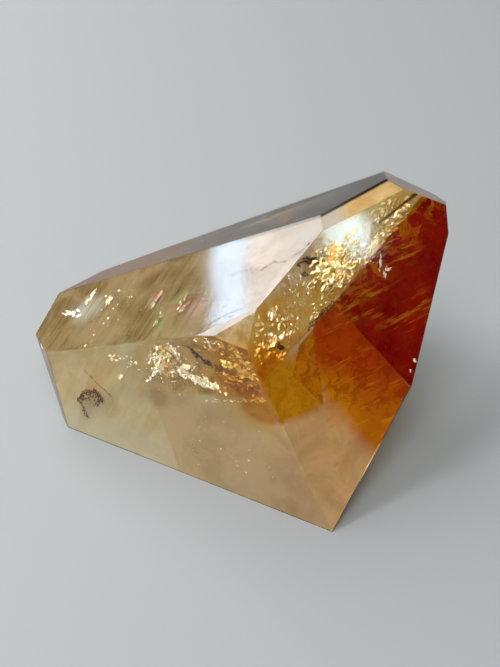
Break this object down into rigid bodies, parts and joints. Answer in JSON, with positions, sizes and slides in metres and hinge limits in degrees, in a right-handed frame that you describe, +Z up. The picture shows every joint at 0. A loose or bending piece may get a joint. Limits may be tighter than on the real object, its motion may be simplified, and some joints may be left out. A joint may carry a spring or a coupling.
{
  "type": "polished calcite stone",
  "caption": "Clear honey-coloured stone ground to flat facets, with a raised tip, resting on its largest flat.",
  "frame": {"origin": "middle of the stone's bounding box, on the floor it rests on", "axes": "+Z up, +X from the narrow left end towards the raised tip, +Y away from the broad front faces"},
  "size_m": [0.1014, 0.075, 0.0564],
  "materials": {
    "honey_calcite": "polished, see-through, honey to deep red-brown"
  },
  "bodies": {
    "root": {"calcite_stone": "honey_calcite"}
  },
  "joints": []
}
